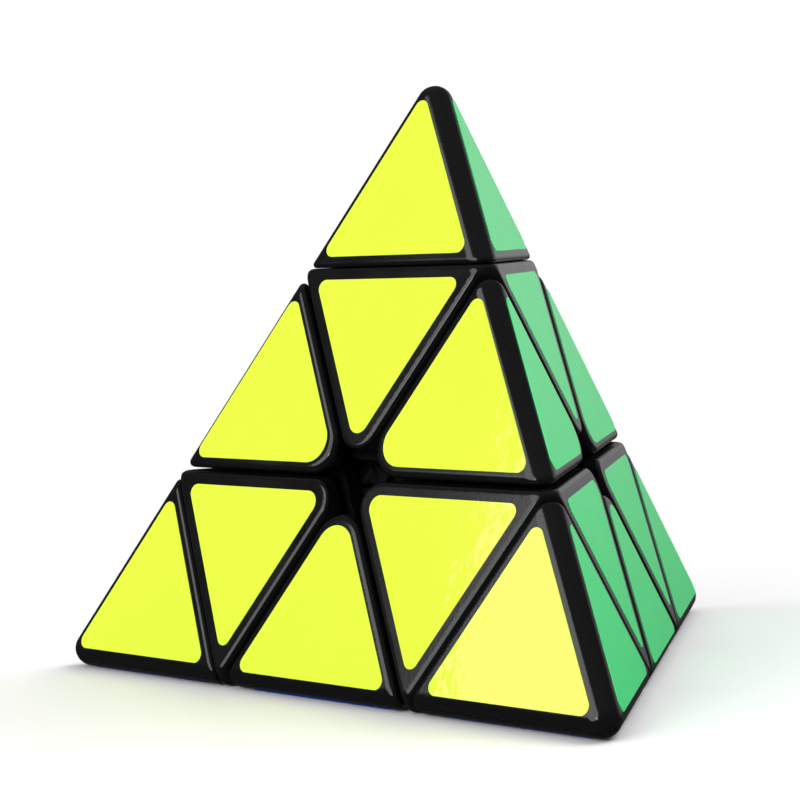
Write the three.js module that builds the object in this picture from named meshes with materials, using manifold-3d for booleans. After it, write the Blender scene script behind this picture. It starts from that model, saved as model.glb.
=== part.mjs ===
// Pyramid twisty puzzle: a tetrahedron whose four vertices each carry a turning layer and a turning tip.
// Units are millimetres. The origin is the centre of the pyramid, where the four turning axes meet.
// +Z runs up through the upper vertex, and the front face looks along -Y.

import * as THREE from 'three';
import { ConvexGeometry } from 'three/addons/geometries/ConvexGeometry.js';
import { mergeVertices } from 'three/addons/utils/BufferGeometryUtils.js';
import Module from 'manifold-3d';

const wasm = await Module();
wasm.setup();

// Outer form.
const SPAN = 98;            // overall width, from one rounded vertex to another
const ROUND = 2.55;         // rounding of the ridges and vertices
const ROUND_STEPS = 4;      // flats across one rounded ridge
const LAYER_CUT = 6.97;     // from the centre to the cut under a layer, along its axis
const TIP_CUT = 34.86;      // from the centre to the cut under a tip, along its axis
const SEAM = 0.5;           // gap between the layers
const TIP_SEAM = 0.3;       // gap under a tip
const GAP = 0.3;            // gap between pieces that are fixed together
const WALL = 1.8;           // wall of the corner and edge shells
const TIP_WALL = 1.6;       // wall of the tip caps
const CORNER_NOSE = 4;      // from a face's centre to the rounded nose of a corner piece
const EDGE_NOSE = 4.7;      // from a face's centre to the rounded nose of an edge piece
const CORNER_NOSE_ROUND = 3;
const EDGE_NOSE_ROUND = 4.5;
const NOSE_TURNS = [-Math.PI / 6, 0, Math.PI / 6]; // the flats round a nose

// The turning surfaces inside: spheres about the centre, and cones about each axis.
const FOOT_INNER = 11.55;   // underside of the feet of the edge pieces
const FOOT_OUTER = 15.25;   // top of the feet
const FLANGE_INNER = 15.6;  // underside of the corner flanges, which hold the feet in
const FLANGE_OUTER = 18.05; // top of the corner flanges
const SHELL_INNER = 18.45;  // where the outer shells begin
const FOOT_CONE = 69.5;     // half angle of a layer at the feet, in degrees
const NECK_CONE = 60.5;     // half angle of a layer at the flanges, in degrees
const CONE_PLAY = 0.7;      // each side of a cone keeps this many degrees clear
const FOOT_TRIM = 10;       // the ends of a foot are trimmed to this radius
const PLUG_TOP = 21.5;      // top of the plug that joins a foot to its shell

// Core, hub and tip stem, as heights along a corner's axis and radii about it.
const CORE_RADIUS = 7.5;
const ARM_RADIUS = 3.4;
const ARM_TOP = 13.5;
const ARM_PLAY = 0.35;      // between an arm and the hub that turns on it
const HUB_RADIUS = 6.3;
const HUB_BOTTOM = 9;
const HUB_FLOOR = 1.6;
const SHOULDER_RADIUS = 7.7;
const SHOULDER_HEIGHT = 1.6;
const STEM_RADIUS = 4.6;
const STEM_BORE = 3.7;
const STEM_FLOOR = 1.6;
const PLATE = 2;            // plate under a tip cap
const RIM_HEIGHT = 3;       // rim on that plate, which the cap snaps over
const RIM_WALL = 1.2;

// Hardware.
const SCREW_RADIUS = 1.5;
const SCREW_HOLE = 1.9;
const SCREW_BOTTOM = 8.6;
const SCREW_ROOM = 1;       // the screw's hole runs this far past its end
const HEAD_RADIUS = 2.9;
const HEAD_HEIGHT = 2.2;
const DRIVE_LENGTH = 4;
const DRIVE_WIDTH = 0.8;
const DRIVE_DEPTH = 1.2;
const SPRING_RADIUS = 2.7;
const WIRE_RADIUS = 0.32;
const SPRING_LENGTH = 9;
const SPRING_TURNS = 5.5;
const WASHER_RADIUS = 3.3;
const WASHER_THICK = 0.8;

const ROUND_SIDES = 20;     // sides of the cylinders
const HOLE_SIDES = 12;      // sides of the screws and their holes
const TURN_SIDES = 24;      // sides of the cones and balls, which turn past each other
const BALL_RINGS = 14;      // rings of those balls
const SPRING_STEPS = 55;    // straight lengths along the spring
const WIRE_STEPS = 3;       // sides of one half of its wire

// Distances below which numbers count as equal, when planes are made into a solid.
const SAME_POINT = 1e-4;
const ON_PLANE = 1e-6;
const PARALLEL = 1e-9;

// Sizes that follow from the ones above.
const SHARP_EDGE = SPAN + 2 * ROUND * (Math.sqrt(6) - 1);
const FACE = SHARP_EDGE / Math.sqrt(24);
const VERTEX = 3 * (FACE - ROUND) + ROUND;
const TALL = SHARP_EDGE;    // past the end of every piece
const CONE_HEIGHT = 1.4 * PLUG_TOP; // past the top of the plug
const HUB_TOP = TIP_CUT - TIP_SEAM / 2;
const ARM_BORE = ARM_RADIUS + ARM_PLAY;
const HUB_FLOOR_BOTTOM = ARM_TOP + GAP;
const HUB_FLOOR_TOP = HUB_FLOOR_BOTTOM + HUB_FLOOR;
const STEM_BOTTOM = HUB_FLOOR_TOP + GAP;
const STEM_FLOOR_TOP = STEM_BOTTOM + STEM_FLOOR;
const SPRING_BOTTOM = STEM_FLOOR_TOP + GAP + WIRE_RADIUS;
const WASHER_BOTTOM = SPRING_BOTTOM + SPRING_LENGTH + WIRE_RADIUS + GAP;
const HEAD_BOTTOM = WASHER_BOTTOM + WASHER_THICK + GAP;
const PLATE_BOTTOM = TIP_CUT + TIP_SEAM / 2;
const PLATE_TOP = PLATE_BOTTOM + PLATE;

// The four axes, each from the centre to a vertex. A face lies opposite each vertex.
const AXES = {
  up: new THREE.Vector3(0, 0, 1),
  left: new THREE.Vector3(-Math.sqrt(6) / 3, -Math.sqrt(2) / 3, -1 / 3),
  right: new THREE.Vector3(Math.sqrt(6) / 3, -Math.sqrt(2) / 3, -1 / 3),
  back: new THREE.Vector3(0, (2 * Math.sqrt(2)) / 3, -1 / 3),
};
const EDGES = [
  ['up', 'left'], ['up', 'right'], ['up', 'back'],
  ['left', 'right'], ['right', 'back'], ['back', 'left'],
];

// A corner piece is made in its own frame, with its axis along +Z.
const CORNER_AXIS = AXES.up;
const CORNER_SIDES = [AXES.back, AXES.left, AXES.right];

// An edge piece is made in its own frame, with its ridge along X and its outside towards +Z.
const EDGE_MIDDLE = new THREE.Vector3(0, 0, 1);
const EDGE_OWN = [
  new THREE.Vector3(Math.sqrt(2 / 3), 0, Math.sqrt(1 / 3)),
  new THREE.Vector3(-Math.sqrt(2 / 3), 0, Math.sqrt(1 / 3)),
];
const EDGE_OTHER = [
  new THREE.Vector3(0, Math.sqrt(2 / 3), -Math.sqrt(1 / 3)),
  new THREE.Vector3(0, -Math.sqrt(2 / 3), -Math.sqrt(1 / 3)),
];

// ---- Solids ----

// A closed three.js geometry as a solid that can be cut and joined.
function solid(geometry, matrix = new THREE.Matrix4()) {
  const bare = geometry.clone();
  bare.deleteAttribute('normal');
  bare.deleteAttribute('uv');
  bare.applyMatrix4(matrix);
  const merged = mergeVertices(bare, SAME_POINT);
  const triangles = [];
  for (let i = 0; i < merged.index.count; i += 3) {
    const [a, b, c] = [0, 1, 2].map((k) => merged.index.getX(i + k));
    if (a !== b && b !== c && c !== a) {
      triangles.push(a, b, c);
    }
  }
  return new wasm.Manifold(new wasm.Mesh({
    numProp: 3,
    vertProperties: new Float32Array(merged.attributes.position.array),
    triVerts: new Uint32Array(triangles),
  }));
}

// The geometry of a finished solid.
function geometryOf(body) {
  const mesh = body.getMesh();
  const geometry = new THREE.BufferGeometry();
  const positions = new Float32Array(mesh.numVert * 3);
  for (let i = 0; i < mesh.numVert; i++) {
    for (let k = 0; k < 3; k++) {
      positions[3 * i + k] = mesh.vertProperties[mesh.numProp * i + k];
    }
  }
  geometry.setAttribute('position', new THREE.BufferAttribute(positions, 3));
  geometry.setIndex(new THREE.BufferAttribute(new Uint32Array(mesh.triVerts), 1));
  geometry.computeVertexNormals();
  return geometry;
}

// The rotation that takes +Z to a direction.
function along(direction) {
  const turn = new THREE.Quaternion().setFromUnitVectors(new THREE.Vector3(0, 0, 1), direction);
  return new THREE.Matrix4().makeRotationFromQuaternion(turn);
}

// A cylinder on the +Z axis, between two heights.
function rod(radius, low, high, sides = ROUND_SIDES) {
  const geometry = new THREE.CylinderGeometry(radius, radius, high - low, sides);
  geometry.rotateX(Math.PI / 2);
  geometry.translate(0, 0, (low + high) / 2);
  return solid(geometry);
}

function ball(radius) {
  return solid(new THREE.SphereGeometry(radius, TURN_SIDES, BALL_RINGS));
}

// A round cone with its point at the centre, around a direction.
function cone(direction, halfAngle) {
  const radius = CONE_HEIGHT * Math.tan(THREE.MathUtils.degToRad(halfAngle));
  const geometry = new THREE.ConeGeometry(radius, CONE_HEIGHT, TURN_SIDES);
  geometry.rotateX(-Math.PI / 2);
  geometry.translate(0, 0, CONE_HEIGHT / 2);
  return solid(geometry, along(direction));
}

// The points that lie below every plane, each plane given by its normal and its distance.
function belowPlanes(planes) {
  const corners = [];
  for (let i = 0; i < planes.length; i++) {
    for (let j = i + 1; j < planes.length; j++) {
      for (let k = j + 1; k < planes.length; k++) {
        const corner = meetingPoint(planes[i], planes[j], planes[k]);
        if (corner && planes.every(([normal, distance]) => normal.dot(corner) < distance + ON_PLANE)) {
          corners.push(corner);
        }
      }
    }
  }
  const distinct = corners.filter((corner, i) => (
    corners.slice(0, i).every((other) => other.distanceTo(corner) > SAME_POINT)
  ));
  return solid(new ConvexGeometry(distinct));
}

// The point where three planes meet, unless two of them are parallel.
function meetingPoint([n1, d1], [n2, d2], [n3, d3]) {
  const c23 = n2.clone().cross(n3);
  const determinant = n1.dot(c23);
  if (Math.abs(determinant) < PARALLEL) {
    return null;
  }
  const point = c23.multiplyScalar(d1);
  point.add(n3.clone().cross(n1).multiplyScalar(d2));
  point.add(n1.clone().cross(n2).multiplyScalar(d3));
  return point.divideScalar(determinant);
}

// Planes of the faces opposite some vertices, moved in by an amount.
function facePlanes(vertices, inset) {
  return vertices.map((axis) => [axis.clone().negate(), FACE - inset]);
}

// A plane across an axis, with the solid below it or above it.
function under(axis, height) {
  return [axis.clone(), height];
}

function over(axis, height) {
  return [axis.clone().negate(), -height];
}

// Planes that round a piece off where it reaches the centre of each face, and so open a small well there.
function nosePlanes(outward, faceVertices, distance, radius, inset) {
  return faceVertices.flatMap((vertex) => {
    const towardsPiece = outward.clone().addScaledVector(vertex, -outward.dot(vertex)).normalize();
    return NOSE_TURNS.map((turn) => {
      const normal = towardsPiece.clone().applyAxisAngle(vertex, turn);
      return over(normal, (distance + radius) * Math.cos(turn) - radius + inset);
    });
  });
}

// The whole pyramid with round ridges and vertices.
function roundedPyramid(vertices) {
  const points = [];
  for (const vertex of vertices) {
    const centre = vertex.clone().multiplyScalar(3 * (FACE - ROUND));
    const normals = vertices.filter((other) => other !== vertex).map((other) => other.clone().negate());
    for (let i = 0; i <= ROUND_STEPS; i++) {
      for (let j = 0; j <= ROUND_STEPS - i; j++) {
        const direction = normals[0].clone().multiplyScalar(i);
        direction.addScaledVector(normals[1], j);
        direction.addScaledVector(normals[2], ROUND_STEPS - i - j);
        points.push(centre.clone().addScaledVector(direction.normalize(), ROUND));
      }
    }
  }
  return solid(new ConvexGeometry(points));
}

// ---- Corner pieces ----

// The block of a corner piece above its floor, with the other sides moved in by an amount.
function cornerBlock(inset, floor) {
  return belowPlanes([
    under(CORNER_AXIS, TIP_CUT - TIP_SEAM / 2 - inset),
    over(CORNER_AXIS, floor),
    ...CORNER_SIDES.map((axis) => under(axis, LAYER_CUT - SEAM / 2 - inset)),
    ...facePlanes(CORNER_SIDES, inset),
    ...nosePlanes(CORNER_AXIS, CORNER_SIDES, CORNER_NOSE, CORNER_NOSE_ROUND, inset),
  ]);
}

function makeCornerShell() {
  return cornerBlock(0, LAYER_CUT + SEAM / 2)
    .intersect(roundedPyramid(Object.values(AXES)))
    .subtract(cornerBlock(WALL, 0))
    .subtract(ball(SHELL_INNER))
    .subtract(rod(HUB_RADIUS + GAP, 0, TIP_CUT));
}

// Three-lobed flange that lies over the feet of the edge pieces.
function makeFlange() {
  const flange = ball(FLANGE_OUTER)
    .subtract(ball(FLANGE_INNER))
    .intersect(cone(CORNER_AXIS, NECK_CONE - CONE_PLAY));
  return CORNER_SIDES.reduce((rest, axis) => rest.subtract(cone(axis, NECK_CONE + CONE_PLAY)), flange);
}

// Three-lobed skirt that fills the ball between the feet of the edge pieces, and guides them.
function makeSkirt() {
  const lobes = (halfAngle) => CORNER_SIDES.reduce(
    (rest, axis) => rest.subtract(cone(axis, FOOT_CONE + CONE_PLAY)),
    cone(CORNER_AXIS, halfAngle - CONE_PLAY),
  );
  const besideFeet = ball(FOOT_OUTER).intersect(lobes(FOOT_CONE));
  const underFlange = ball(FLANGE_INNER + GAP).intersect(lobes(NECK_CONE));
  return besideFeet.add(underFlange).subtract(ball(FOOT_INNER));
}

function makeCornerHub() {
  const shoulderTop = HUB_TOP - WALL - GAP;
  return rod(HUB_RADIUS, HUB_BOTTOM, HUB_TOP)
    .add(rod(SHOULDER_RADIUS, shoulderTop - SHOULDER_HEIGHT, shoulderTop))
    .add(makeFlange())
    .add(makeSkirt())
    .subtract(rod(ARM_BORE, 0, HUB_FLOOR_BOTTOM))
    .subtract(rod(SCREW_HOLE, 0, TALL, HOLE_SIDES))
    .subtract(rod(STEM_RADIUS + GAP, HUB_FLOOR_TOP, TALL));
}

// ---- Tips ----

function makeTipCap() {
  const block = belowPlanes([over(CORNER_AXIS, PLATE_BOTTOM), ...facePlanes(CORNER_SIDES, -WALL)]);
  const hollow = belowPlanes([
    over(CORNER_AXIS, 0),
    under(CORNER_AXIS, VERTEX - TIP_WALL),
    ...facePlanes(CORNER_SIDES, TIP_WALL),
  ]);
  return block.intersect(roundedPyramid(Object.values(AXES))).subtract(hollow);
}

// A triangular slab that fills the opening of the tip cap between two heights.
function tipSlab(inset, low, high) {
  return belowPlanes([
    over(CORNER_AXIS, low),
    under(CORNER_AXIS, high),
    ...facePlanes(CORNER_SIDES, TIP_WALL + GAP + inset),
  ]);
}

function makeTipBase() {
  const rim = tipSlab(0, PLATE_BOTTOM, PLATE_TOP + RIM_HEIGHT)
    .subtract(tipSlab(RIM_WALL, PLATE_TOP, PLATE_TOP + 2 * RIM_HEIGHT));
  return rim
    .add(rod(STEM_RADIUS, STEM_BOTTOM, PLATE_TOP))
    .subtract(rod(STEM_BORE, STEM_FLOOR_TOP, TALL))
    .subtract(rod(SCREW_HOLE, 0, TALL, HOLE_SIDES));
}

// ---- Edge pieces ----

function edgeBlock(inset) {
  return belowPlanes([
    ...EDGE_OWN.map((axis) => over(axis, LAYER_CUT + SEAM / 2 + inset)),
    ...facePlanes(EDGE_OTHER, inset),
    ...nosePlanes(EDGE_MIDDLE, EDGE_OTHER, EDGE_NOSE, EDGE_NOSE_ROUND, inset),
  ]);
}

function makeEdgeShell() {
  return edgeBlock(0)
    .intersect(roundedPyramid([...EDGE_OWN, ...EDGE_OTHER]))
    .subtract(edgeBlock(WALL))
    .subtract(ball(SHELL_INNER));
}

// The wide foot slides under the corner flanges. The thin neck passes between them.
function makeEdgeFoot() {
  const withinBoth = (halfAngle) => (
    cone(EDGE_OWN[0], halfAngle - CONE_PLAY).intersect(cone(EDGE_OWN[1], halfAngle - CONE_PLAY))
  );
  const foot = ball(FOOT_OUTER)
    .subtract(ball(FOOT_INNER))
    .intersect(withinBoth(FOOT_CONE))
    .intersect(rod(FOOT_TRIM, 0, TALL));
  const neck = ball(PLUG_TOP)
    .subtract(ball((FOOT_INNER + FOOT_OUTER) / 2))
    .intersect(withinBoth(NECK_CONE));
  return foot.add(neck);
}

// ---- Core and hardware ----

function makeCore() {
  let core = solid(new THREE.SphereGeometry(CORE_RADIUS, ROUND_SIDES, HOLE_SIDES));
  for (const axis of Object.values(AXES)) {
    core = core.add(rod(ARM_RADIUS, 0, ARM_TOP).transform(along(axis).elements));
  }
  const hole = rod(SCREW_HOLE, SCREW_BOTTOM - SCREW_ROOM, TALL, HOLE_SIDES);
  for (const axis of Object.values(AXES)) {
    core = core.subtract(hole.transform(along(axis).elements));
  }
  return core;
}

function makeScrew() {
  const headTop = HEAD_BOTTOM + HEAD_HEIGHT;
  let screw = rod(SCREW_RADIUS, SCREW_BOTTOM, headTop - DRIVE_DEPTH, HOLE_SIDES)
    .add(rod(HEAD_RADIUS, HEAD_BOTTOM, headTop));
  for (const turn of [0, Math.PI / 2]) {
    const slot = new THREE.BoxGeometry(DRIVE_LENGTH, DRIVE_WIDTH, 2 * DRIVE_DEPTH);
    slot.rotateZ(turn);
    slot.translate(0, 0, headTop);
    screw = screw.subtract(solid(slot));
  }
  return screw;
}

function makeWasher() {
  const top = WASHER_BOTTOM + WASHER_THICK;
  return rod(WASHER_RADIUS, WASHER_BOTTOM, top).subtract(rod(SCREW_HOLE, 0, TALL, HOLE_SIDES));
}

// Centre line of the coil spring.
class Helix extends THREE.Curve {
  getPoint(t, target = new THREE.Vector3()) {
    const angle = 2 * Math.PI * SPRING_TURNS * t;
    return target.set(
      SPRING_RADIUS * Math.cos(angle),
      SPRING_RADIUS * Math.sin(angle),
      SPRING_BOTTOM + SPRING_LENGTH * t,
    );
  }
}

function makeSpringGeometry() {
  const wire = new THREE.Shape();
  wire.absarc(0, 0, WIRE_RADIUS, 0, 2 * Math.PI, false);
  return new THREE.ExtrudeGeometry(wire, {
    extrudePath: new Helix(),
    steps: SPRING_STEPS,
    curveSegments: WIRE_STEPS,
  });
}

// ---- Materials ----

function plastic(color, roughness) {
  return new THREE.MeshStandardMaterial({ color, roughness, metalness: 0 });
}

function steel(color, roughness) {
  return new THREE.MeshStandardMaterial({ color, roughness, metalness: 1 });
}

const LOOKS = {
  shell: () => plastic(0x141417, 0.35),
  hub: () => plastic(0x1d1d20, 0.45),
  core: () => plastic(0x2a2a2e, 0.5),
  screw: () => steel(0x9aa0a6, 0.35),
  spring: () => steel(0xb8bcc2, 0.3),
};

// ---- Assembly ----

// Moves a corner's own frame to the corner of that name.
function cornerFrame(name) {
  const z = AXES[name];
  const neighbour = Object.values(AXES).find((axis) => axis !== z);
  const y = neighbour.clone().addScaledVector(z, -neighbour.dot(z)).normalize();
  const x = y.clone().cross(z);
  const group = new THREE.Group();
  group.quaternion.setFromRotationMatrix(new THREE.Matrix4().makeBasis(x, y, z));
  return group;
}

// Moves an edge's own frame to the edge between two corners.
function edgeFrame([first, second]) {
  const x = AXES[first].clone().sub(AXES[second]).normalize();
  const z = AXES[first].clone().add(AXES[second]).normalize();
  const y = z.clone().cross(x);
  const group = new THREE.Group();
  group.quaternion.setFromRotationMatrix(new THREE.Matrix4().makeBasis(x, y, z));
  return group;
}

function addMesh(group, name, geometry, look) {
  const mesh = new THREE.Mesh(geometry, LOOKS[look]());
  mesh.name = name;
  group.add(mesh);
}

const CORNER_PIECES = [
  ['corner_shell', geometryOf(makeCornerShell()), 'shell'],
  ['corner_hub', geometryOf(makeCornerHub()), 'hub'],
  ['tip_cap', geometryOf(makeTipCap()), 'shell'],
  ['tip_base', geometryOf(makeTipBase()), 'hub'],
  ['axis_screw', geometryOf(makeScrew()), 'screw'],
  ['axis_washer', geometryOf(makeWasher()), 'screw'],
  ['axis_spring', makeSpringGeometry(), 'spring'],
];
const EDGE_PIECES = [
  ['edge_shell', geometryOf(makeEdgeShell()), 'shell'],
  ['edge_foot', geometryOf(makeEdgeFoot()), 'hub'],
];

const puzzle = new THREE.Group();
addMesh(puzzle, 'core', geometryOf(makeCore()), 'core');
for (const name of Object.keys(AXES)) {
  const frame = cornerFrame(name);
  for (const [piece, geometry, look] of CORNER_PIECES) {
    addMesh(frame, `${piece}_${name}`, geometry, look);
  }
  puzzle.add(frame);
}
for (const pair of EDGES) {
  const frame = edgeFrame(pair);
  for (const [piece, geometry, look] of EDGE_PIECES) {
    addMesh(frame, `${piece}_${pair.join('_')}`, geometry, look);
  }
  puzzle.add(frame);
}

export default puzzle;
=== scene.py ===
"""Pyramid twisty puzzle: the finished look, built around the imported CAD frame.

The plastic and metal pieces are made from smooth distance fields, so that every ridge, seam and
face-centre well has its real rounding. The springs are swept wire. The stickers are thin slabs on the
faces. Lengths are in millimetres until a mesh is made. Blender's own unit is the metre.
"""

import math
from itertools import combinations

import bmesh
import bpy
import numpy as np
from mathutils import Matrix, Vector


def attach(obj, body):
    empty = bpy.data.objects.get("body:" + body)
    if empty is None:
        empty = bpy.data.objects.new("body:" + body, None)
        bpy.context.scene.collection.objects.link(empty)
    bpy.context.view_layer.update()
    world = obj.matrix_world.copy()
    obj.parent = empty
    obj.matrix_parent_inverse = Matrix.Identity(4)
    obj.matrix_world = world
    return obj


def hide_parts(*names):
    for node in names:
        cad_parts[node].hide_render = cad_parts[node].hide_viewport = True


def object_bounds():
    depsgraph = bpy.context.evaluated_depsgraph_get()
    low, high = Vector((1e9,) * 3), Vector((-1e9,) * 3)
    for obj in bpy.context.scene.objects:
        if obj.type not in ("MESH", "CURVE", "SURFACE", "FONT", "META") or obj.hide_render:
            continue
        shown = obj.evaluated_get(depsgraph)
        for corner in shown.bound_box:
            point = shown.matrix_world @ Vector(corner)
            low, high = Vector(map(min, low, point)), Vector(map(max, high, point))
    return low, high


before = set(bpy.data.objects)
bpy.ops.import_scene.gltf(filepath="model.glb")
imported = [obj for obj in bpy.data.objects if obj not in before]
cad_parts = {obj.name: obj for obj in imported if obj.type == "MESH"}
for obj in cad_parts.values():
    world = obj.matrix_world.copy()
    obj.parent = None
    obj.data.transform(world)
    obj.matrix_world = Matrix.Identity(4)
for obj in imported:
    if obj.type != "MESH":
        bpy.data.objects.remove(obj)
cad_low, cad_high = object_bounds()

# ---- Dimensions ----

# The width of the puzzle gives the side of its pyramid without rounding, and that gives the faces and the
# vertices. Faces, cuts and vertices are measured from the centre. One radius rounds ridges and vertices.
MM = 0.001
SPAN = (cad_high.x - cad_low.x) / MM
ROUND = 2.55
SHARP_EDGE = SPAN + 2 * ROUND * (math.sqrt(6) - 1)
FACE = SHARP_EDGE / math.sqrt(24)
FACE_HEIGHT = SHARP_EDGE * math.sqrt(3) / 2
VERTEX = 3 * (FACE - ROUND) + ROUND
LAYER_CUT = 6.97
TIP_CUT = 34.86
HALF_SEAM = 0.25
HALF_TIP_SEAM = 0.025
WALL = 1.8
TIP_WALL = 1.6
SHELL_INNER = 18.45
HUB_BORE = 6.6

# Rounding of the plastic where two surfaces meet.
EDGE_LIP = 0.9
CORNER_LIP = 0.75
TIP_LIP = 0.6
INNER_LIP = 0.45

# The blunt ends that the pieces turn towards the centre of each face: how far they stay from it, how
# round they are, and the step in their side walls.
CORNER_NOSE = 4.0
EDGE_NOSE = 4.7
CORNER_NOSE_ROUND = 3.0
EDGE_NOSE_ROUND = 4.5
STEP_DEPTH = 2.4
STEP_RUN = 0.5
STEP_SIZE = 0.7

# Cosines of the angles between the outward normals of surfaces that meet.
ACROSS = 1 / 3
BESIDE_NOSE = math.sqrt(2) / 3

# Inner pieces: balls about the centre, half angles in degrees of cones about each axis, and heights and
# radii along a corner's axis.
GAP = 0.3
FOOT_INNER = 11.55
FOOT_OUTER = 15.25
FLANGE_INNER = 15.6
FLANGE_OUTER = 18.05
FOOT_CONE = 69.5
NECK_CONE = 60.5
CONE_PLAY = 0.7
FOOT_TRIM = 10
PLUG_TOP = 21.5
CORE_RADIUS = 7.5
ARM_RADIUS = 3.4
ARM_PLAY = 0.35
ARM_TOP = 13.5
HUB_RADIUS = 6.3
HUB_BOTTOM = 9
HUB_TOP = TIP_CUT - GAP / 2
HUB_FLOOR = 1.6
SHOULDER_RADIUS = 7.7
SHOULDER_HEIGHT = 1.6
STEM_RADIUS = 4.6
STEM_BORE = 3.7
STEM_FLOOR = 1.6
PLATE = 2
PLATE_BOTTOM = TIP_CUT + GAP / 2
PLATE_TOP = PLATE_BOTTOM + PLATE
RIM_HEIGHT = 3
RIM_WALL = 1.2
HUB_FLOOR_BOTTOM = ARM_TOP + GAP
HUB_FLOOR_TOP = HUB_FLOOR_BOTTOM + HUB_FLOOR
STEM_BOTTOM = HUB_FLOOR_TOP + GAP
STEM_FLOOR_TOP = STEM_BOTTOM + STEM_FLOOR
INNER_SOFT = 0.25

# Hardware.
SCREW_RADIUS = 1.5
SCREW_HOLE = 1.9
SCREW_BOTTOM = 8.6
SCREW_ROOM = 1
THREAD_PITCH = 0.8
THREAD_DEPTH = 0.22
THREAD_TOP = 16
HEAD_RADIUS = 2.9
HEAD_HEIGHT = 2.2
HEAD_SOFT = 0.7
DRIVE_LENGTH = 4
DRIVE_WIDTH = 0.8
DRIVE_DEPTH = 1.2
SPRING_RADIUS = 2.7
WIRE_RADIUS = 0.32
SPRING_LENGTH = 9
SPRING_TURNS = 5.5
END_COIL = 0.5
COIL_STEPS = 28
WIRE_SIDES = 12
WASHER_RADIUS = 3.3
WASHER_THICK = 0.8
SPRING_BOTTOM = STEM_FLOOR_TOP + GAP + WIRE_RADIUS
WASHER_BOTTOM = SPRING_BOTTOM + SPRING_LENGTH + WIRE_RADIUS + GAP
HEAD_BOTTOM = WASHER_BOTTOM + WASHER_THICK + GAP

# Cell sizes of the grids that the pieces are drawn on, and the value of a grid corner that is taken out.
SHELL_GRID = 0.33
INNER_GRID = 0.45
FINE_GRID = 0.22
JUST_OUTSIDE = 0.01

# Slopes are measured over a short reach to place points and over a wide one to shade. A few steps bring a
# point onto the surface. Faces that bend less than FLAT, in degrees, become one.
REACH = 0.001
SOFT_REACH = 0.18
SETTLE_STEPS = 5
LEAST_SLOPE_SQUARED = 0.05
LEAST_LENGTH = 1e-9
FLAT = 0.15

# A face shades flat if it has many corners, or if the cosine between its normal and the slope is small.
MANY_CORNERS = 12
LEAST_COSINE = 0.8

# Stickers: height above the face, depth of the root, softness of the upper edge, distances from the ideal
# cut lines, corner radii, the fineness of their curves, and the bend in degrees that shades as an edge.
STICKER_TOP = 0.07
STICKER_ROOT = 0.14
STICKER_SOFT = 0.035
TIP_FROM_CUT = 0.61
TIP_FROM_RIDGE = 3.2
CORNER_FROM_TIP = 2.75
CORNER_FROM_LAYER = 2.17
EDGE_FROM_LAYER = 1.72
EDGE_FROM_RIDGE = 2.89
OUTER_RADIUS = 1.17
CORNER_INNER_RADIUS = 1.7
EDGE_INNER_RADIUS = 3.15
FEWEST_STEPS = 6
STEPS_PER_MM = 7
SOFT_STEPS = 3
SHARP_BEND = 35

# ---- Directions ----

AXES = {
    "up": np.array([0.0, 0.0, 1.0]),
    "left": np.array([-math.sqrt(6) / 3, -math.sqrt(2) / 3, -1 / 3]),
    "right": np.array([math.sqrt(6) / 3, -math.sqrt(2) / 3, -1 / 3]),
    "back": np.array([0.0, 2 * math.sqrt(2) / 3, -1 / 3]),
}
EDGES = [
    ("up", "left"), ("up", "right"), ("up", "back"),
    ("left", "right"), ("right", "back"), ("back", "left"),
]
# A face has the name of the vertex opposite it.
FACE_COLOUR = {"back": "yellow", "left": "green", "up": "blue", "right": "red"}

# A corner piece is made about the upper axis. An edge piece is made with its ridge on top, along x, between
# its own two vertices. It shows on the faces opposite the other two.
CORNER_AXIS = AXES["up"]
CORNER_SIDES = [AXES["back"], AXES["left"], AXES["right"]]
EDGE_MIDDLE = np.array([0.0, 0.0, 1.0])
EDGE_OWN = [
    np.array([math.sqrt(2 / 3), 0.0, math.sqrt(1 / 3)]),
    np.array([-math.sqrt(2 / 3), 0.0, math.sqrt(1 / 3)]),
]
EDGE_OTHER = [
    np.array([0.0, math.sqrt(2 / 3), -math.sqrt(1 / 3)]),
    np.array([0.0, -math.sqrt(2 / 3), -math.sqrt(1 / 3)]),
]


def unit(vector):
    return vector / np.linalg.norm(vector)


def corner_frame(name):
    """Columns are a corner piece's own x, y and z in the frame of the puzzle."""
    z = AXES[name]
    neighbour = next(axis for other, axis in AXES.items() if other != name)
    y = unit(neighbour - neighbour.dot(z) * z)
    return np.column_stack([np.cross(y, z), y, z])


def edge_frame(pair):
    """Columns are an edge piece's own x, y and z in the frame of the puzzle."""
    first, second = AXES[pair[0]], AXES[pair[1]]
    x, z = unit(first - second), unit(first + second)
    return np.column_stack([x, np.cross(z, x), z])


# ---- Distance fields, negative inside ----


def plane(points, normal, distance):
    """Below a plane at a distance from the centre."""
    return points @ normal - distance


def fillet(first, second, cosine, radius):
    """Inside two fields at once, with a round edge. The cosine is between their outward normals."""
    a, b = first + radius, second + radius
    near_edge = (a > cosine * b) & (b > cosine * a)
    span = np.sqrt(np.maximum(a * a + b * b - 2 * a * b * cosine, 0.0) / (1 - cosine**2))
    return np.where(near_edge, span, np.maximum(a, b)) - radius


def segment_distance(points, start, end):
    """Distance to a straight line between two points."""
    along = end - start
    part = np.clip((points - start) @ along / along.dot(along), 0.0, 1.0)
    return np.linalg.norm(points - start - part[:, None] * along, axis=1)


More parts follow.
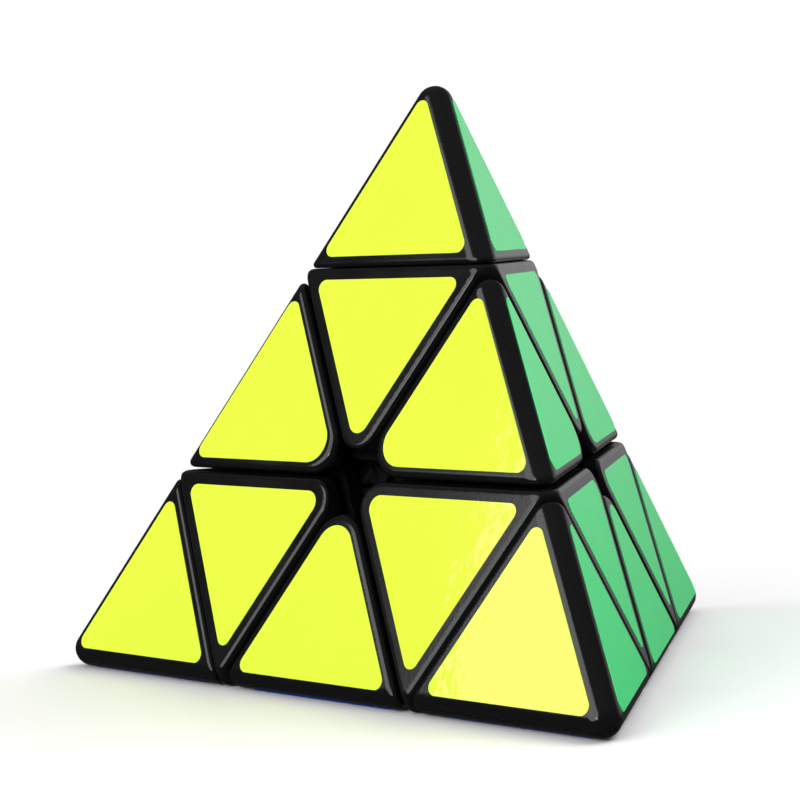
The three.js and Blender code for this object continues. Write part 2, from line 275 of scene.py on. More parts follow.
def rounded_pyramid(points, axes):
    """Exact distance to a tetrahedron whose ridges and vertices are rounded to one radius."""
    inset = FACE - ROUND
    corners = [3 * inset * axis for axis in axes]
    walls = np.stack([plane(points, -axis, inset) for axis in axes])
    distance = walls.max(0)
    rim = np.flatnonzero((distance > 0) & ~over_one_face(points, axes, walls, inset))
    nearest = np.full(len(rim), np.inf)
    for start, end in combinations(corners, 2):
        nearest = np.minimum(nearest, segment_distance(points[rim], start, end))
    distance[rim] = nearest
    return distance - ROUND


def over_one_face(points, axes, walls, inset):
    """True where the nearest point of the inner tetrahedron lies inside one of its faces."""
    found = np.zeros(len(points), bool)
    for i, axis in enumerate(axes):
        foot = points + walls[i][:, None] * axis
        others = [plane(foot, -other, inset) for j, other in enumerate(axes) if j != i]
        found |= (walls[i] > 0) & (np.maximum.reduce(others) <= 0)
    return found


def step_in(skin):
    """How far the side walls stand back below the lip of a piece."""
    t = np.clip((-skin - STEP_DEPTH) / STEP_RUN, 0.0, 1.0)
    return STEP_SIZE * t * t * (3 - 2 * t)


def nose(points, outward, face, distance):
    """Wall at right angles to a face that ends a piece before the centre of that face."""
    towards_piece = unit(outward - outward.dot(face) * face)
    return plane(points, -towards_piece, -distance)


def blunt(sides, end, radius):
    """Two side walls and the end between them, with round corners."""
    return np.maximum(*[fillet(side, end, BESIDE_NOSE, radius) for side in sides])


def tip_cap_field(points):
    """The hollow outer cap of a tip, open below."""
    skin = rounded_pyramid(points, [CORNER_AXIS, *CORNER_SIDES])
    floor = plane(points, -CORNER_AXIS, -(TIP_CUT + HALF_TIP_SEAM))
    solid = fillet(skin, floor, -ACROSS, TIP_LIP)
    hollow = np.maximum.reduce(
        [plane(points, -axis, FACE - TIP_WALL) for axis in CORNER_SIDES]
        + [plane(points, CORNER_AXIS, VERTEX - TIP_WALL)]
    )
    return fillet(solid, -hollow, -ACROSS, INNER_LIP)


def corner_shell_field(points):
    """The outer shell of a corner piece: three blunt ends, and a bore for its hub."""
    skin = rounded_pyramid(points, [CORNER_AXIS, *CORNER_SIDES])
    back = step_in(skin)
    sides = [plane(points, axis, LAYER_CUT - HALF_SEAM) for axis in CORNER_SIDES]
    ends = [nose(points, CORNER_AXIS, axis, CORNER_NOSE) + back for axis in CORNER_SIDES]
    cuts = [plane(points, CORNER_AXIS, TIP_CUT - HALF_TIP_SEAM)]
    for i, end in enumerate(ends):
        cuts.append(blunt([side for j, side in enumerate(sides) if j != i], end, CORNER_NOSE_ROUND))
    cut = np.maximum.reduce(cuts)
    solid = np.maximum(
        fillet(skin, cut, ACROSS, CORNER_LIP),
        plane(points, -CORNER_AXIS, -(LAYER_CUT + HALF_SEAM)),
    )
    hollow = np.maximum(skin, cut) + WALL
    ball = np.linalg.norm(points, axis=1) - SHELL_INNER
    bore = np.hypot(points[:, 0], points[:, 1]) - HUB_BORE
    return fillet(solid, -np.minimum.reduce([hollow, ball, bore]), -ACROSS, INNER_LIP)


def edge_shell_field(points):
    """The outer shell of an edge piece: two blunt ends, and hollow behind."""
    skin = rounded_pyramid(points, [*EDGE_OWN, *EDGE_OTHER])
    back = step_in(skin)
    sides = [plane(points, -axis, -(LAYER_CUT + HALF_SEAM)) for axis in EDGE_OWN]
    cut = np.maximum(*[
        blunt(sides, nose(points, EDGE_MIDDLE, axis, EDGE_NOSE) + back, EDGE_NOSE_ROUND)
        for axis in EDGE_OTHER
    ])
    solid = fillet(skin, cut, -ACROSS, EDGE_LIP)
    hollow = np.maximum(skin, cut) + WALL
    ball = np.linalg.norm(points, axis=1) - SHELL_INNER
    return fillet(solid, -np.minimum(hollow, ball), -ACROSS, INNER_LIP)


def ball_layer(points, low, high):
    """Between two balls about the centre."""
    return np.abs(np.linalg.norm(points, axis=1) - (low + high) / 2) - (high - low) / 2


def cone(points, axis, half_angle):
    """A cone from the centre about an axis, with its half angle in degrees."""
    along = points @ axis
    out = np.linalg.norm(points - along[:, None] * axis, axis=1)
    return out * math.cos(math.radians(half_angle)) - along * math.sin(math.radians(half_angle))


def slab(points, low, high, axis=CORNER_AXIS):
    """Between two heights along an axis."""
    return np.abs(points @ axis - (low + high) / 2) - (high - low) / 2


def rod(points, radius, low, high, axis=CORNER_AXIS):
    """A cylinder about an axis, with round rims."""
    out = np.linalg.norm(points - (points @ axis)[:, None] * axis, axis=1)
    return fillet(out - radius, slab(points, low, high, axis), 0.0, INNER_SOFT)


def lobes(points, own, others):
    """Inside one layer's cone and outside its three neighbours'."""
    sides = [-cone(points, axis, others + CONE_PLAY) for axis in CORNER_SIDES]
    return np.maximum.reduce([cone(points, CORNER_AXIS, own - CONE_PLAY), *sides])


def hub_field(points):
    """A barrel with a shoulder, lobes between the feet of the edge pieces, and a flange over those feet."""
    shoulder_top = HUB_TOP - WALL - GAP
    flange_layer = ball_layer(points, FLANGE_INNER, FLANGE_OUTER)
    foot_layer = ball_layer(points, FOOT_INNER, FOOT_OUTER)
    join_layer = ball_layer(points, FOOT_INNER, FLANGE_INNER + GAP)
    solid = np.minimum.reduce([
        rod(points, HUB_RADIUS, HUB_BOTTOM, HUB_TOP),
        rod(points, SHOULDER_RADIUS, shoulder_top - SHOULDER_HEIGHT, shoulder_top),
        fillet(flange_layer, lobes(points, NECK_CONE, NECK_CONE), 0, INNER_SOFT),
        fillet(foot_layer, lobes(points, FOOT_CONE, FOOT_CONE), 0, INNER_SOFT),
        np.maximum(join_layer, lobes(points, NECK_CONE, FOOT_CONE)),
    ])
    holes = np.minimum.reduce([
        rod(points, ARM_RADIUS + ARM_PLAY, 0, HUB_FLOOR_BOTTOM),
        rod(points, SCREW_HOLE, 0, SPAN),
        rod(points, STEM_RADIUS + GAP, HUB_FLOOR_TOP, SPAN),
    ])
    return fillet(solid, -holes, 0, INNER_SOFT)


def tip_base_field(points):
    """A plate with a raised rim under the tip's cap, and the hollow stem that reaches into the hub."""
    sides = np.maximum.reduce([plane(points, -axis, FACE - TIP_WALL - GAP) for axis in CORNER_SIDES])
    rim = fillet(sides, slab(points, PLATE_BOTTOM, PLATE_TOP + RIM_HEIGHT), -ACROSS, INNER_SOFT)
    pocket = fillet(sides + RIM_WALL, plane(points, -CORNER_AXIS, -PLATE_TOP), ACROSS, INNER_SOFT)
    solid = np.minimum(np.maximum(rim, -pocket), rod(points, STEM_RADIUS, STEM_BOTTOM, PLATE_TOP))
    holes = np.minimum(rod(points, STEM_BORE, STEM_FLOOR_TOP, SPAN), rod(points, SCREW_HOLE, 0, SPAN))
    return fillet(solid, -holes, 0, INNER_SOFT)


def edge_foot_field(points):
    """A curved foot, caught under two flanges, and the neck that joins it to the shell."""
    foot_sides, neck_sides = [
        np.maximum(*[cone(points, axis, half_angle - CONE_PLAY) for axis in EDGE_OWN])
        for half_angle in (FOOT_CONE, NECK_CONE)
    ]
    foot = fillet(ball_layer(points, FOOT_INNER, FOOT_OUTER), foot_sides, 0, INNER_SOFT)
    foot = fillet(foot, np.hypot(points[:, 0], points[:, 1]) - FOOT_TRIM, 0, INNER_SOFT)
    neck = fillet(ball_layer(points, (FOOT_INNER + FOOT_OUTER) / 2, PLUG_TOP), neck_sides, 0, INNER_SOFT)
    return np.minimum(foot, neck)


def core_field(points):
    """A ball with four arms, each bored for its screw."""
    arms = [rod(points, ARM_RADIUS, 0, ARM_TOP, axis) for axis in AXES.values()]
    holes = [rod(points, SCREW_HOLE, SCREW_BOTTOM - SCREW_ROOM, SPAN, axis) for axis in AXES.values()]
    solid = np.minimum.reduce([np.linalg.norm(points, axis=1) - CORE_RADIUS, *arms])
    return fillet(solid, -np.minimum.reduce(holes), 0, INNER_SOFT)


def screw_field(points):
    """A pan-head screw with a cross recess and a thread cut into its shank."""
    head_top = HEAD_BOTTOM + HEAD_HEIGHT
    x, y, z = points.T
    turn = (z / THREAD_PITCH - np.arctan2(y, x) / (2 * math.pi)) % 1
    groove = THREAD_DEPTH * np.abs(2 * turn - 1) * (z < THREAD_TOP)
    out = np.hypot(x, y)
    shank = np.maximum(out - SCREW_RADIUS + groove, slab(points, SCREW_BOTTOM, HEAD_BOTTOM + HEAD_SOFT))
    head = fillet(out - HEAD_RADIUS, slab(points, HEAD_BOTTOM, head_top), 0, HEAD_SOFT)
    slots = [
        np.maximum(np.abs(a) - DRIVE_WIDTH / 2, np.abs(b) - DRIVE_LENGTH / 2)
        for a, b in ((x, y), (y, x))
    ]
    recess = np.maximum(np.minimum(*slots), plane(points, -CORNER_AXIS, DRIVE_DEPTH - head_top))
    return np.maximum(np.minimum(shank, head), -recess)


def washer_field(points):
    """A flat ring with round rims."""
    solid = rod(points, WASHER_RADIUS, WASHER_BOTTOM, WASHER_BOTTOM + WASHER_THICK)
    return fillet(solid, -rod(points, SCREW_HOLE, 0, SPAN), 0, INNER_SOFT)


# ---- From a field to a mesh ----


def net(field, low, high, step):
    """Vertices and quads of the surface where a field is zero, one vertex in each cell that it crosses."""
    ticks = [np.arange(a, b + step, step) for a, b in zip(low, high)]
    grid = np.stack(np.meshgrid(*ticks, indexing="ij"), -1)
    value = field(grid.reshape(-1, 3)).reshape(grid.shape[:3])
    untangle(value)
    cells = tuple(n - 1 for n in value.shape)
    total = np.zeros((*cells, 3))
    count = np.zeros(cells)
    for axis in range(3):
        add_crossings(value, axis, total, count)
    index = np.full(cells, -1)
    used = count > 0
    index[used] = np.arange(used.sum())
    points = total[used] / count[used][:, None] * step + np.array(low)
    quads = np.concatenate([crossing_quads(value, index, axis) for axis in range(3)])
    return settle(field, points, step), quads


def untangle(value):
    """Where inside and outside alternate around a grid square, takes out the shallower inside corner, so
    that no edge of the mesh joins four faces."""
    tangled = True
    while tangled:
        tangled = False
        for axes in ((0, 1), (0, 2), (1, 2)):
            plates = np.moveaxis(value, axes, (0, 1))
            corners = [plates[:-1, :-1], plates[1:, :-1], plates[1:, 1:], plates[:-1, 1:]]
            for here, beside, across, opposite in (corners, corners[1:] + corners[:1]):
                wrong = (here < 0) & (across < 0) & (beside >= 0) & (opposite >= 0)
                shallow_here = wrong & (here >= across)
                shallow_across = wrong & (here < across)
                here[shallow_here] = JUST_OUTSIDE
                across[shallow_across] = JUST_OUTSIDE
                tangled |= bool(wrong.any())


def add_crossings(value, axis, total, count):
    """Adds up, for each cell, where the surface crosses its edges along one axis."""
    values = np.moveaxis(value, axis, 0)
    totals = np.moveaxis(total, axis, 0)
    counts = np.moveaxis(count, axis, 0)
    rows, columns = counts.shape[1:]
    here = np.indices(counts.shape)
    others = [other for other in range(3) if other != axis]
    for row in (0, 1):
        for column in (0, 1):
            start = values[:-1, row : row + rows, column : column + columns]
            end = values[1:, row : row + rows, column : column + columns]
            crossed = (start < 0) != (end < 0)
            part = np.where(crossed, start / np.where(crossed, start - end, 1.0), 0.0)
            totals[..., axis] += crossed * (here[0] + part)
            totals[..., others[0]] += crossed * (here[1] + row)
            totals[..., others[1]] += crossed * (here[2] + column)
            counts += crossed


def crossing_quads(value, index, axis):
    """One quad for each grid edge along an axis that the surface crosses, facing outwards."""
    values = np.moveaxis(value, axis, 0)
    cell = np.moveaxis(index, axis, 0)
    i, j, k = np.nonzero((values[:-1] < 0) != (values[1:] < 0))
    quad = np.stack([cell[i, j - 1, k - 1], cell[i, j, k - 1], cell[i, j, k], cell[i, j - 1, k]], 1)
    leaves = values[i, j, k] < 0
    flip = leaves if axis == 1 else ~leaves
    quad[flip] = quad[flip][:, ::-1]
    return quad


def slope(field, points, reach):
    """The field's gradient at each point, measured over a reach to either side."""
    steps = reach * np.eye(3)
    return np.stack([(field(points + step) - field(points - step)) / (2 * reach) for step in steps], 1)


def settle(field, points, step):
    """Moves each point onto the surface along the field's slope."""
    for _ in range(SETTLE_STEPS):
        gradient = slope(field, points, REACH)
        move = field(points) / np.maximum((gradient**2).sum(1), LEAST_SLOPE_SQUARED)
        move = np.clip(move, -step / 2, step / 2)
        points = points - move[:, None] * gradient
    return points


def finished_mesh(name, bm):
    mesh = bpy.data.meshes.new(name)
    bm.to_mesh(mesh)
    bm.free()
    return mesh


def field_mesh(name, field, low, high, step):
    """A mesh of a field, with its flat areas joined into single faces."""
    points, quads = net(field, low, high, step)
    bm = bmesh.new()
    corners = [bm.verts.new(p) for p in points]
    for quad in quads:
        bm.faces.new([corners[i] for i in quad])
    bm.normal_update()
    bmesh.ops.dissolve_limit(
        bm, angle_limit=math.radians(FLAT), verts=bm.verts, edges=bm.edges, delimit=set()
    )
    return finished_mesh(name, bm)


def field_normals(mesh, field):
    """The slope of the field at each face corner, so that fillets shade smoothly and flats stay flat."""
    points = np.empty(len(mesh.vertices) * 3)
    mesh.vertices.foreach_get("co", points)
    points = points.reshape(-1, 3)
    gradient = slope(field, points, SOFT_REACH)
    gradient /= np.maximum(np.linalg.norm(gradient, axis=1), LEAST_LENGTH)[:, None]
    normals = np.empty((len(mesh.loops), 3))
    for face in mesh.polygons:
        flat = np.array(face.normal)
        for loop in face.loop_indices:
            own = gradient[mesh.loops[loop].vertex_index]
            smooth = own.dot(flat) > LEAST_COSINE and len(face.vertices) < MANY_CORNERS
            normals[loop] = own if smooth else flat
    return normals


def add_object(name, data):
    obj = bpy.data.objects.new(name, data)
    bpy.context.scene.collection.objects.link(obj)
    return obj


def placed_copy(name, source, normals, turn):
    """A copy of a mesh turned into place and scaled from millimetres to metres."""
    mesh = source.copy()
    mesh.name = name
    mesh.transform(Matrix((turn * MM).tolist()).to_4x4())
    for face in mesh.polygons:
        face.use_smooth = True
    if normals is not None:
        mesh.normals_split_custom_set((normals @ turn.T).tolist())
    return add_object(name, mesh)


def ring_mesh(name, rings, clockwise=False):
    """A closed mesh through a row of rings of points, with a cap on each end.

    The rings run clockwise or anticlockwise, as seen from the last one.
    """
    bm = bmesh.new()
    rings = [[bm.verts.new(point) for point in ring] for ring in rings]
    for low, high in zip(rings, rings[1:]):
        for i in range(len(low)):
            j = (i + 1) % len(low)
            rest = [high[i], high[j], low[j]] if clockwise else [low[j], high[j], high[i]]
            bm.faces.new([low[i], *rest])
    caps = (rings[0], rings[-1]) if clockwise else (rings[-1], rings[0])
    bm.faces.new(caps[0])
    bm.faces.new(caps[1][::-1])
    return finished_mesh(name, bm)


def spring_mesh(name):
    """A coil of round wire whose end coils lie closer together."""
    full_turn = 2 * math.pi
    steps = round(SPRING_TURNS * COIL_STEPS)
    rings = []
    for t in np.arange(steps + 1) / steps:
        angle = full_turn * SPRING_TURNS * t
        outward = np.array([math.cos(angle), math.sin(angle), 0.0])
        height = SPRING_BOTTOM + SPRING_LENGTH * (t - END_COIL * math.sin(full_turn * t) / full_turn)
        rings.append([
            (SPRING_RADIUS + WIRE_RADIUS * math.cos(a)) * outward
            + (height + WIRE_RADIUS * math.sin(a)) * CORNER_AXIS
            for a in np.linspace(0, full_turn, WIRE_SIDES, endpoint=False)
        ])
    return ring_mesh(name, rings, clockwise=True)


# ---- Materials ----

# Noises: repeats per metre, levels of detail, and the part of the noise's range that counts.
PLASTIC_CLOUDS = 90
PLASTIC_GRAIN = 2600
VINYL_CLOUDS = 60
VINYL_WAVES = 320
METAL_CLOUDS = 700
CLOUD_DETAIL = 3
FINE_DETAIL = 2
NOISE_SPAN = (0.3, 0.7)

# What the noises do: factors on a colour, changes of a roughness, and a relief's strength and depth in
# metres.
PLASTIC_SHADES = (0.85, 1.2)
VINYL_SHADES = (0.97, 1.02)
METAL_SHADES = (0.9, 1)
PLASTIC_UNEVEN = (-0.04, 0.05)
METAL_UNEVEN = (-0.06, 0.08)
PLASTIC_RELIEF = (0.5, 0.000012)
VINYL_RELIEF = (0.4, 0.00006)

# Gloss. The shells' polish gives way to dull walls between two depths, in millimetres below the faces.
# There the specular level also falls far below that of plastic, so the walls in the seams and wells stay
# dark: painted shade.
PLASTIC_IOR = 1.5
VINYL_IOR = 1.48
VINYL_ROUGHNESS = (0.025, 0.05)
WALL_ROUGHNESS = 0.8
SHELL_SPECULAR_AND_WALL_SHADE = (0.42, 0.06)
POLISH_AND_SHADE_DEPTHS = (0.7, 1.6)


def new_material(name):
    material = bpy.data.materials.new(name)
    material.use_nodes = True
    nodes = material.node_tree.nodes
    return material, nodes, material.node_tree.links, nodes["Principled BSDF"]


def noise(nodes, links, scale, detail):
    """Noise fixed to the piece, with its scale in repeats per metre."""
    place = nodes.new("ShaderNodeTexCoord")
    texture = nodes.new("ShaderNodeTexNoise")
    texture.inputs["Scale"].default_value = scale
    texture.inputs["Detail"].default_value = detail
    links.new(place.outputs["Object"], texture.inputs["Vector"])
    return texture.outputs["Fac"]


def ranged(nodes, links, source, ends, results, curve="SMOOTHSTEP"):
    """A number that runs between two results while its source runs between two ends."""
    span = nodes.new("ShaderNodeMapRange")
    span.interpolation_type = curve
    for name, value in zip(("From Min", "From Max", "To Min", "To Max"), (*ends, *results)):
        if isinstance(value, bpy.types.NodeSocket):
            links.new(value, span.inputs[name])
        else:
            span.inputs[name].default_value = value
    links.new(source, span.inputs["Value"])
    return span.outputs["Result"]


def bump(nodes, links, shader, height, strength, distance):
    relief = nodes.new("ShaderNodeBump")
    relief.inputs["Strength"].default_value = strength
    relief.inputs["Distance"].default_value = distance
    links.new(height, relief.inputs["Height"])
    links.new(relief.outputs["Normal"], shader.inputs["Normal"])


def lowest_height(nodes, links):
    """A point's height in metres along the axis on which it lies lowest, which the nearest face crosses."""
    place = nodes.new("ShaderNodeTexCoord")
    lowest = None
    for axis in AXES.values():
        along = nodes.new("ShaderNodeVectorMath")
        along.operation = "DOT_PRODUCT"
        along.inputs[1].default_value = axis
        links.new(place.outputs["Object"], along.inputs[0])
        if lowest is None:
            lowest = along.outputs["Value"]
            continue
        lower = nodes.new("ShaderNodeMath")
        lower.operation = "MINIMUM"
        links.new(lowest, lower.inputs[0])
        links.new(along.outputs["Value"], lower.inputs[1])
        lowest = lower.outputs["Value"]
    return lowest


def clouded(nodes, links, shader, scale, tints, roughness):
    """Lets a noise move the colour between two tints and the roughness between two values."""
    cloud = noise(nodes, links, scale, CLOUD_DETAIL)
    mix = nodes.new("ShaderNodeMix")
    mix.data_type = "RGBA"
    mix.inputs["A"].default_value = (*tints[0], 1)
    mix.inputs["B"].default_value = (*tints[1], 1)
    links.new(cloud, mix.inputs["Factor"])
    links.new(mix.outputs["Result"], shader.inputs["Base Color"])
    gloss = ranged(nodes, links, cloud, NOISE_SPAN, roughness, "LINEAR")
    links.new(gloss, shader.inputs["Roughness"])


def shades(colour, factors):
    return [[channel * factor for channel in colour] for factor in factors]


def plastic(name, colour, roughness, specular):
    """Moulded plastic with slightly uneven gloss and a fine grain."""
    material, nodes, links, shader = new_material(name)
    gloss = [roughness + change for change in PLASTIC_UNEVEN]
    clouded(nodes, links, shader, PLASTIC_CLOUDS, shades(colour, PLASTIC_SHADES), gloss)
    bump(nodes, links, shader, noise(nodes, links, PLASTIC_GRAIN, FINE_DETAIL), *PLASTIC_RELIEF)
    shader.inputs["IOR"].default_value = PLASTIC_IOR
    shader.inputs["Specular IOR Level"].default_value = specular
    return material


def shell_plastic(name, colour, roughness):
    """Plastic that is polished outside and dull on the walls that slide, whose specular level is turned
    down with depth as painted shade in the seams and wells.
    """
    material = plastic(name, colour, roughness, SHELL_SPECULAR_AND_WALL_SHADE[0])
    nodes, links = material.node_tree.nodes, material.node_tree.links
    shader = nodes["Principled BSDF"]
    height = lowest_height(nodes, links)
    ends = [-(FACE - depth) * MM for depth in POLISH_AND_SHADE_DEPTHS]
    gloss = shader.inputs["Roughness"].links[0].from_socket
    links.new(ranged(nodes, links, height, ends, (gloss, WALL_ROUGHNESS)), shader.inputs["Roughness"])
    # The specular level falls with depth: painted shade on the recessed walls.
    links.new(ranged(nodes, links, height, ends, SHELL_SPECULAR_AND_WALL_SHADE), shader.inputs["Specular IOR Level"])
    return material


def vinyl(name, colour):
    """Glossy film that lies in faint waves."""
    material, nodes, links, shader = new_material(name)
    clouded(nodes, links, shader, VINYL_CLOUDS, shades(colour, VINYL_SHADES), VINYL_ROUGHNESS)
    bump(nodes, links, shader, noise(nodes, links, VINYL_WAVES, FINE_DETAIL), *VINYL_RELIEF)
    shader.inputs["IOR"].default_value = VINYL_IOR
    return material


def metal(name, colour, roughness):
    """Bare metal with slightly uneven gloss."""
    material, nodes, links, shader = new_material(name)
    gloss = [roughness + change for change in METAL_UNEVEN]
    clouded(nodes, links, shader, METAL_CLOUDS, shades(colour, METAL_SHADES), gloss)
    shader.inputs["Metallic"].default_value = 1.0
    return material


# The material of each slot, with its linear colour, then its roughness and specular level where those vary
# from one material of a kind to another.
LOOKS = {
    "black_plastic": shell_plastic("black_plastic", (0.004, 0.004, 0.0045), 0.13),
    # The inner pieces get a very low specular level so that they stay black: painted shade inside the
    # puzzle.
    "inner_plastic": plastic("inner_plastic", (0.003, 0.003, 0.0035), 0.6, 0.06),
    "core_plastic": plastic("core_plastic", (0.012, 0.012, 0.013), 0.5, 0.3),
    "steel": metal("steel", (0.55, 0.56, 0.58), 0.32),
    "spring_steel": metal("spring_steel", (0.62, 0.63, 0.65), 0.28),
    "sticker_yellow": vinyl("sticker_yellow", (0.7, 0.93, 0.056)),
    "sticker_green": vinyl("sticker_green", (0.02, 0.83, 0.215)),
    # Blue vinyl, made darker than its own colour as painted shade for the bottom face, which stands on the
    # floor.
    "sticker_blue": vinyl("sticker_blue", (0.004, 0.045, 0.32)),
    "sticker_red": vinyl("sticker_red", (0.70, 0.012, 0.02)),
}


def finish_piece(obj, slot, body):
    obj.data.materials.clear()
    obj.data.materials.append(LOOKS[slot])
    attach(obj, body)


# ---- Plastic and metal pieces ----

# Each piece that a corner or an edge has: its CAD node's name, its field, the box that holds it, its
# grid, the body that it rides on, and its material slot.
CORNER_PIECES = [
    ("tip_cap", tip_cap_field, (-18.4, -18.4, 34.6), (18.4, 22, 62), SHELL_GRID, "tip", "black_plastic"),
    ("tip_base", tip_base_field, (-16, -10, 15), (16, 18, 41), INNER_GRID, "tip", "inner_plastic"),
    (
        "corner_shell", corner_shell_field, (-24, -24, 6.5), (24, 26, 36),
        SHELL_GRID, "corner", "black_plastic",
    ),
    ("corner_hub", hub_field, (-17, -17, 3.5), (17, 17, 36), INNER_GRID, "corner", "inner_plastic"),
    ("axis_screw", screw_field, (-3.4, -3.4, 8), (3.4, 3.4, 31.5), FINE_GRID, "core", "steel"),
    ("axis_washer", washer_field, (-4, -4, 27), (4, 4, 29), FINE_GRID, "core", "steel"),
]
EDGE_PIECES = [
    ("edge_shell", edge_shell_field, (-20, -20, 11), (20, 20, 38), SHELL_GRID, "edge", "black_plastic"),
    ("edge_foot", edge_foot_field, (-11, -11, 4), (11, 11, 22.5), INNER_GRID, "edge", "inner_plastic"),
]


def place_piece(node, source, normals, turn, body, slot):
    obj = placed_copy(f"visual_{node}", source, normals, turn)
    finish_piece(obj, slot, body)
    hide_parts(node)


def make_pieces(pieces, places):
    """Makes each piece once and sets a copy of it in every place."""
    for node, field, low, high, step, body, slot in pieces:
        source = field_mesh(f"{node}_source", field, low, high, step)
        normals = field_normals(source, field)
        for label, turn in places.items():
            own_body = "core" if body == "core" else f"{body}_{label}"
            place_piece(f"{node}_{label}", source, normals, turn, own_body, slot)


def make_all_pieces():
    corners = {name: corner_frame(name) for name in AXES}
    make_pieces(CORNER_PIECES, corners)
    make_pieces(EDGE_PIECES, {"_".join(pair): edge_frame(pair) for pair in EDGES})
    spring = spring_mesh("spring_source")
    for label, turn in corners.items():
        place_piece(f"axis_spring_{label}", spring, None, turn, "core", "spring_steel")
    core = field_mesh("core_source", core_field, (-14, -14, -14), (14, 14, 14), INNER_GRID)
    place_piece("core", core, field_normals(core, core_field), np.eye(3), "core", "core_plastic")


# ---- Stickers ----


def face_point(shares):
    """The point of a face whose distance from each opposite ridge is that share of the face's height."""
    return sum(share * 3 * FACE * AXES[name] for name, share in shares.items())


def sticker_outline(corners, radii):
    """Outline of a triangle with round corners, as points in the plane of the triangle."""
    outline = []
    for i, radius in enumerate(radii):
        corner, before, after = corners[i], corners[i - 1], corners[(i + 1) % 3]
        into, out = unit(before - corner), unit(after - corner)
        half = math.acos(np.clip(into.dot(out), -1, 1)) / 2
        centre = corner + unit(into + out) * radius / math.sin(half)
        start = corner + into * radius / math.tan(half) - centre
        end = corner + out * radius / math.tan(half) - centre
        steps = max(FEWEST_STEPS, round(radius * STEPS_PER_MM))
        sweep = math.acos(np.clip(unit(start).dot(unit(end)), -1, 1))
        for k in range(steps + 1):
            angle = sweep * k / steps
            weights = math.sin(sweep - angle), math.sin(angle)
            outline.append(centre + (start * weights[0] + end * weights[1]) / math.sin(sweep))
    return outline


def make_sticker(name, face, corners, radii, body, colour):
    """A thin slab with a rounded upper edge. Its root lies just inside the plastic."""
    out = -AXES[face]
    if np.dot(np.cross(corners[1] - corners[0], corners[2] - corners[0]), out) < 0:
        corners = corners[::-1]
        radii = radii[::-1]
    outline = sticker_outline(corners, radii)
    levels = [(-STICKER_ROOT, 0.0)]
    for angle in np.linspace(0, math.pi / 2, SOFT_STEPS + 1):
        lift = STICKER_TOP - STICKER_SOFT * (1 - math.sin(angle))
        levels.append((lift, STICKER_SOFT * (1 - math.cos(angle))))
    mesh = ring_mesh(name, [
        [(p + inset_step(outline, i, out) * inset + out * lift) * MM for i, p in enumerate(outline)]
        for lift, inset in levels
    ])
    for polygon in mesh.polygons:
        polygon.use_smooth = True
    mesh.set_sharp_from_angle(angle=math.radians(SHARP_BEND))
    obj = add_object(name, mesh)
    weighted = obj.modifiers.new("flat_shading", "WEIGHTED_NORMAL")
    weighted.keep_sharp = True
    finish_piece(obj, f"sticker_{colour}", body)


def inset_step(outline, i, out):
    """Inward direction at a point of the outline."""
    along = unit(outline[(i + 1) % len(outline)] - outline[i - 1])
    return np.cross(out, along)


def share(distance):
    return distance / FACE_HEIGHT


def make_stickers():
    """Nine stickers on each face, between ideal cut lines at one and two thirds of its height."""
    names = list(AXES)
    for face, colour in FACE_COLOUR.items():
        own = [name for name in names if name != face]
        for name in own:
            others = [n for n in own if n != name]
            sides = {name: 2 / 3 + share(TIP_FROM_CUT), **dict.fromkeys(others, share(TIP_FROM_RIDGE))}
            add_triangle(f"sticker_tip_{name}_{face}", face, sides, {}, f"tip_{name}", colour)
            layer_side = 1 / 3 - share(CORNER_FROM_LAYER)
            sides = {name: 2 / 3 - share(CORNER_FROM_TIP), **dict.fromkeys(others, layer_side)}
            add_triangle(f"sticker_corner_{name}_{face}", face, sides, {name: CORNER_INNER_RADIUS},
                         f"corner_{name}", colour)
        for pair in EDGES:
            if face in pair:
                continue
            third = next(n for n in own if n not in pair)
            sides = {n: 1 / 3 + share(EDGE_FROM_LAYER) for n in pair}
            sides[third] = share(EDGE_FROM_RIDGE)
            label = "_".join(pair)
            add_triangle(f"sticker_edge_{label}_{face}", face, sides, {third: EDGE_INNER_RADIUS},
                         f"edge_{label}", colour)


def add_triangle(name, face, sides, special, body, colour):
    """A sticker from the share of height at which each of its three sides runs.

    The corner opposite a side is named after that side's vertex.
    """
    names = list(sides)
    corners, radii = [], []
    for n in names:
        a, b = [m for m in names if m != n]
        shares = {a: sides[a], b: sides[b], n: 1 - sides[a] - sides[b]}
        corners.append(face_point(shares))
        radii.append(special.get(n, OUTER_RADIUS))
    make_sticker(name, face, corners, radii, body, colour)


# ---- Stage ----

CAMERA_AZIMUTH = 41.5
CAMERA_ELEVATION = 6.7
CAMERA_DISTANCE = 0.3282
CAMERA_LENS = 105.5
CAMERA_TARGET = Vector((-0.0055, -0.0035, 0.0161))
CAMERA_ROLL = -2.18
CAMERA_NEAR = 0.01


def direction(azimuth, elevation):
    """From the object towards a viewer at this azimuth and elevation, in degrees."""
    a, e = math.radians(azimuth), math.radians(elevation)
    return Vector((math.sin(a) * math.cos(e), -math.cos(a) * math.cos(e), math.sin(e)))


def make_camera():
    camera = add_object("camera", bpy.data.cameras.new("camera"))
    camera.location = direction(CAMERA_AZIMUTH, CAMERA_ELEVATION) * CAMERA_DISTANCE
    aim = (CAMERA_TARGET - camera.location).to_track_quat("-Z", "Y").to_matrix()
    roll = Matrix.Rotation(math.radians(CAMERA_ROLL), 3, "Z")
    camera.rotation_euler = (aim @ roll).to_euler()
    camera.data.lens = CAMERA_LENS
    camera.data.clip_start = CAMERA_NEAR
    bpy.context.scene.camera = camera


FLOOR_HALF = 6.0
FLOOR_COLOUR = (0.97, 0.97, 0.97, 1)
FLOOR_ROUGHNESS = 0.6

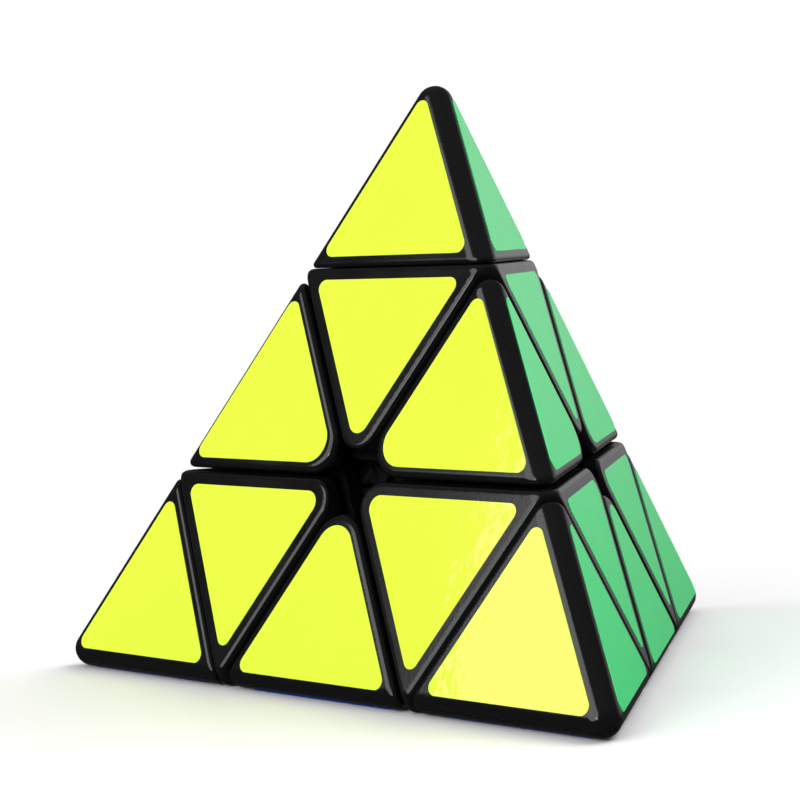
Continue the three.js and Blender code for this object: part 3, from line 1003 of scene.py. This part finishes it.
# The white backdrop, then the room that the puzzle reflects: its brightness in front, in a patch behind,
# overhead and below. Each gives way to the next between two cosines from the middle of the patch, or
# between two heights of a direction.
BACKDROP = 1.05
ROOM_FRONT = 0.08
ROOM_BACK = 0.7
ROOM_BACK_AZIMUTH = 185
ROOM_TOP = 0.2
ROOM_BELOW = 0.05
FRONT_TO_BACK = (0.75, 0.98)
LEVEL_TO_TOP = (0.35, 1.0)
BELOW_TO_LEVEL = (-0.2, 0.15)

# Each light: whether gloss mirrors it, its azimuth, elevation and width in degrees, and its strength.
LIGHTS = {
    "key": (True, -11.9, 21, 60, 2.37),
    "accent": (True, 12, 6, 12, 0.25),
    "fill": (False, 150, 50, 40, 1.75),
    "ceiling": (False, 0, 90, 90, 1.15),
}


def make_floor():
    mesh = bpy.data.meshes.new("floor")
    level = -(FACE + STICKER_TOP) * MM
    half = FLOOR_HALF
    corners = [(-half, -half, level), (half, -half, level), (half, half, level), (-half, half, level)]
    mesh.from_pydata(corners, [], [(0, 1, 2, 3)])
    floor = add_object("floor", mesh)
    material, _, _, shader = new_material("floor")
    shader.inputs["Base Color"].default_value = FLOOR_COLOUR
    shader.inputs["Roughness"].default_value = FLOOR_ROUGHNESS
    mesh.materials.append(material)
    floor.visible_glossy = False


def make_light(name, mirrored, azimuth, elevation, width, strength):
    """A large round softbox, far enough away to light the whole floor evenly."""
    data = bpy.data.lights.new(name, "SUN")
    data.energy = strength
    data.angle = math.radians(width)
    light = add_object(name, data)
    light.rotation_euler = (-direction(azimuth, elevation)).to_track_quat("-Z", "Y").to_euler()
    light.visible_glossy = mirrored


def make_world():
    """A white backdrop, and for reflections a dim room with a bright patch behind the puzzle."""
    world = bpy.data.worlds.new("studio")
    world.use_nodes = True
    nodes, links = world.node_tree.nodes, world.node_tree.links
    seen = nodes["Background"]
    seen.inputs["Color"].default_value = (1, 1, 1, 1)
    seen.inputs["Strength"].default_value = BACKDROP
    room = nodes.new("ShaderNodeBackground")
    place = nodes.new("ShaderNodeTexCoord")
    facing = nodes.new("ShaderNodeVectorMath")
    facing.operation = "DOT_PRODUCT"
    facing.inputs[1].default_value = direction(ROOM_BACK_AZIMUTH, 0)
    links.new(place.outputs["Generated"], facing.inputs[0])
    height = nodes.new("ShaderNodeSeparateXYZ")
    links.new(place.outputs["Generated"], height.inputs["Vector"])
    level = ranged(nodes, links, facing.outputs["Value"], FRONT_TO_BACK, (ROOM_FRONT, ROOM_BACK))
    upper = ranged(nodes, links, height.outputs["Z"], LEVEL_TO_TOP, (level, ROOM_TOP))
    whole = ranged(nodes, links, height.outputs["Z"], BELOW_TO_LEVEL, (ROOM_BELOW, upper))
    links.new(whole, room.inputs["Strength"])
    path = nodes.new("ShaderNodeLightPath")
    mix = nodes.new("ShaderNodeMixShader")
    links.new(path.outputs["Is Camera Ray"], mix.inputs["Fac"])
    links.new(room.outputs["Background"], mix.inputs[1])
    links.new(seen.outputs["Background"], mix.inputs[2])
    links.new(mix.outputs["Shader"], nodes["World Output"].inputs["Surface"])
    bpy.context.scene.world = world


bpy.context.scene.view_settings.view_transform = "Standard"
make_all_pieces()
make_stickers()
make_camera()
make_floor()
make_world()
for light_name, settings in LIGHTS.items():
    make_light(light_name, *settings)
